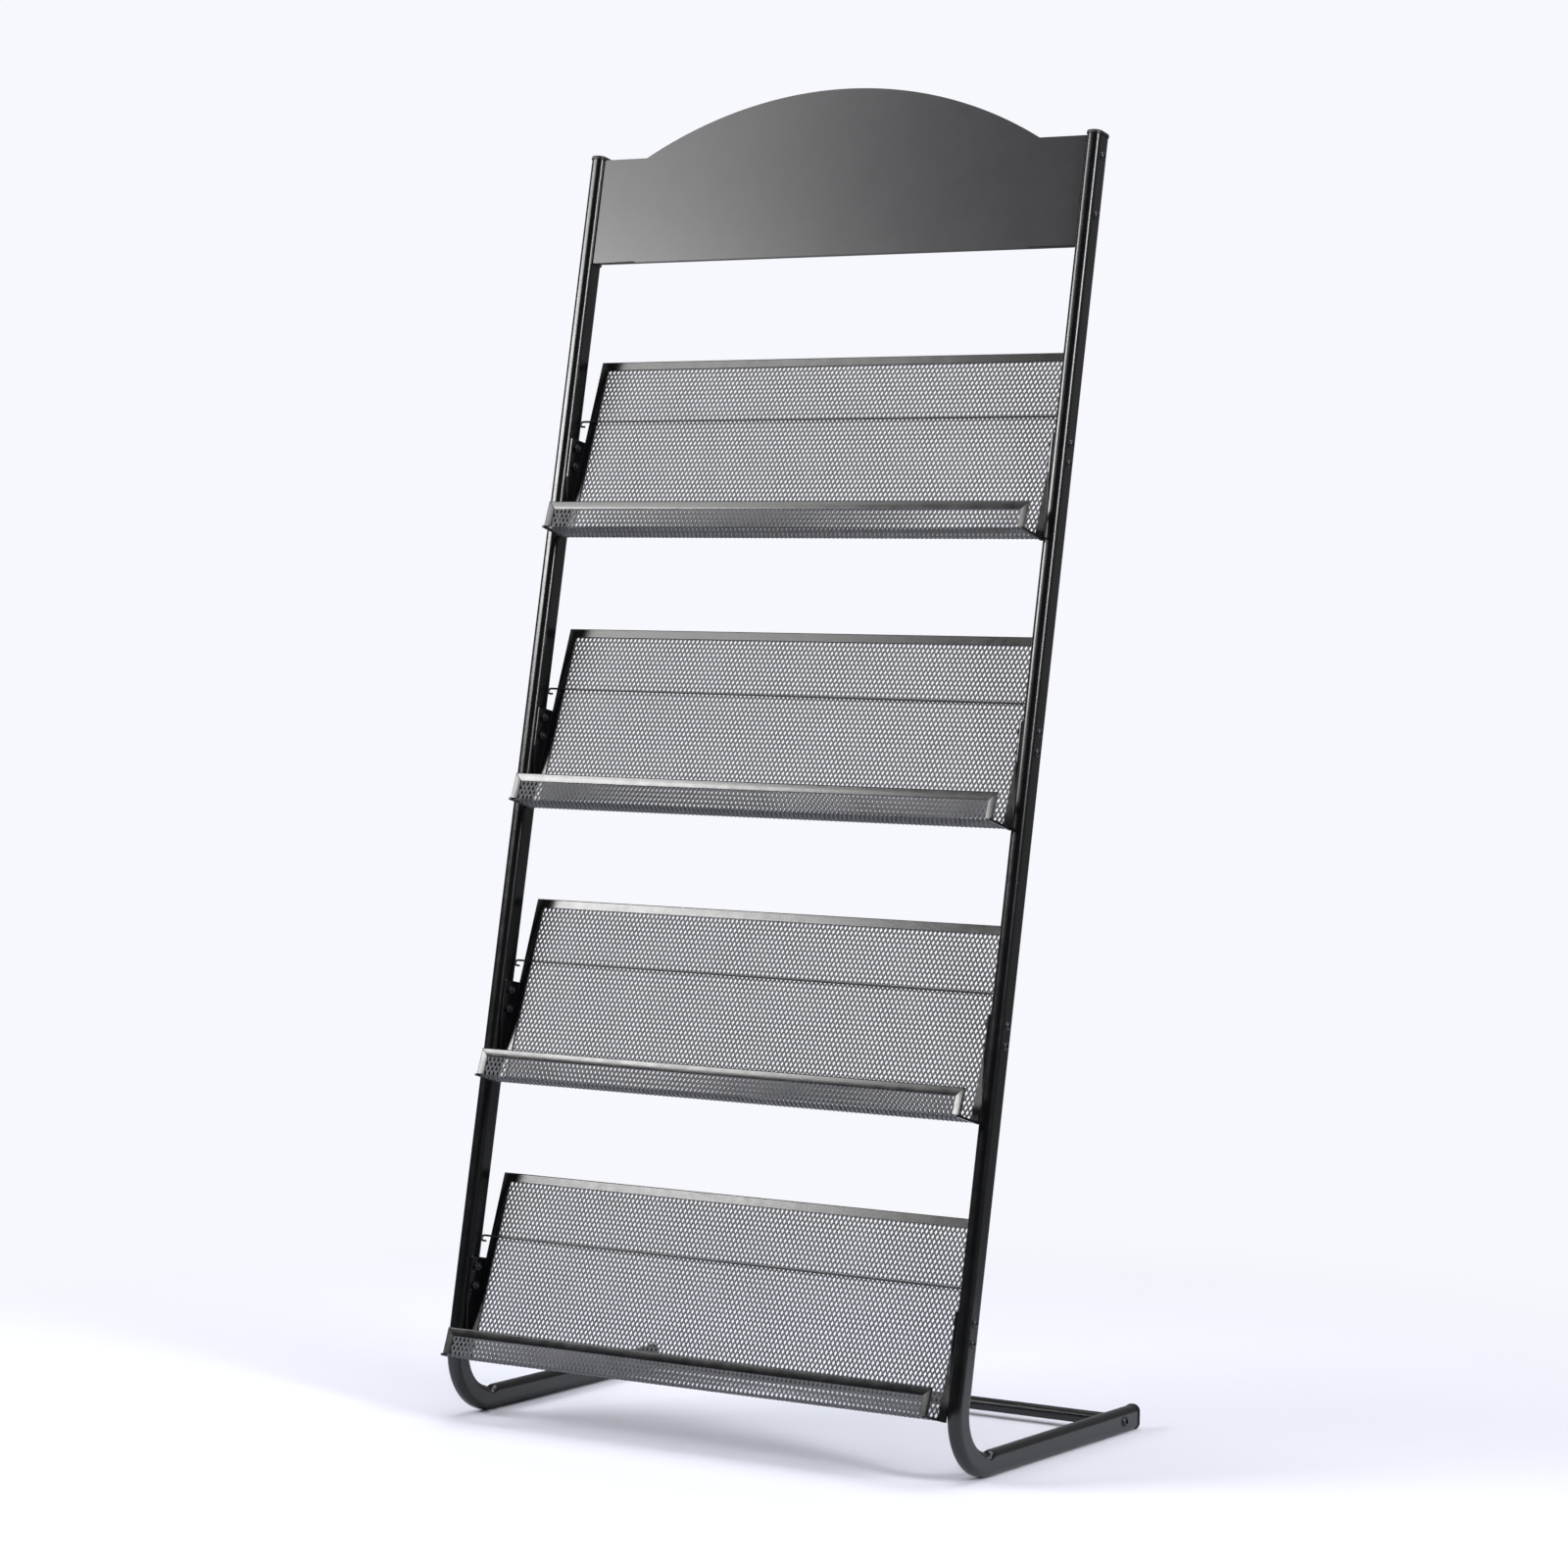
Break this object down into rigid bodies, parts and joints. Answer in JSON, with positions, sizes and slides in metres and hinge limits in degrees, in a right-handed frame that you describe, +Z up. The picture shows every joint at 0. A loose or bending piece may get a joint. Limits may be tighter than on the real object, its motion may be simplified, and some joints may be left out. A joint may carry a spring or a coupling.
{
  "type": "newspaper rack",
  "caption": "Free-standing tiered newspaper and magazine rack: leaning flat-oval steel legs, arched header sign and sloping expanded-metal trays with low front lips.",
  "frame": {"origin": "on the floor, under the middle of the rack's overall outline", "axes": "+X across the rack to its right-hand post as seen from the front, +Y from the front of the rack to the feet's rear ends, +Z up"},
  "size_m": [0.5648, 0.3732, 1.257],
  "materials": {
    "frame_paint": "semi-gloss black powder coat",
    "rim_paint": "semi-gloss black powder coat on thin folded rims",
    "mesh_paint": "satin black powder coat on expanded metal",
    "wire_paint": "satin black paint",
    "sign_paint": "satin charcoal-black powder coat",
    "black_plastic": "matt black moulded plastic",
    "black_fasteners": "black-finished screws and nuts, slightly glossy"
  },
  "bodies": {
    "root": {"crossbar": "frame_paint", "crossbar_bolts": "black_fasteners", "foot_plugs": "black_plastic", "header_panel": "sign_paint", "header_screws": "black_fasteners", "left_leg": "frame_paint", "left_post": "frame_paint", "post_plugs": "black_plastic", "right_leg": "frame_paint", "right_post": "frame_paint", "tray_1_back_side_rims": "rim_paint", "tray_1_back_top_rim": "rim_paint", "tray_1_bolts": "black_fasteners", "tray_1_brackets": "frame_paint", "tray_1_floor_strips": "rim_paint", "tray_1_lip_side_rims": "rim_paint", "tray_1_lip_top_rim": "rim_paint", "tray_1_mesh": "mesh_paint", "tray_1_nuts": "black_fasteners", "tray_1_wire": "wire_paint", "tray_2_back_side_rims": "rim_paint", "tray_2_back_top_rim": "rim_paint", "tray_2_bolts": "black_fasteners", "tray_2_brackets": "frame_paint", "tray_2_floor_strips": "rim_paint", "tray_2_lip_side_rims": "rim_paint", "tray_2_lip_top_rim": "rim_paint", "tray_2_mesh": "mesh_paint", "tray_2_nuts": "black_fasteners", "tray_2_wire": "wire_paint", "tray_3_back_side_rims": "rim_paint", "tray_3_back_top_rim": "rim_paint", "tray_3_bolts": "black_fasteners", "tray_3_brackets": "frame_paint", "tray_3_floor_strips": "rim_paint", "tray_3_lip_side_rims": "rim_paint", "tray_3_lip_top_rim": "rim_paint", "tray_3_mesh": "mesh_paint", "tray_3_nuts": "black_fasteners", "tray_3_wire": "wire_paint", "tray_4_back_side_rims": "rim_paint", "tray_4_back_top_rim": "rim_paint", "tray_4_bolts": "black_fasteners", "tray_4_brackets": "frame_paint", "tray_4_floor_strips": "rim_paint", "tray_4_lip_side_rims": "rim_paint", "tray_4_lip_top_rim": "rim_paint", "tray_4_mesh": "mesh_paint", "tray_4_nuts": "black_fasteners", "tray_4_wire": "wire_paint"}
  },
  "joints": []
}
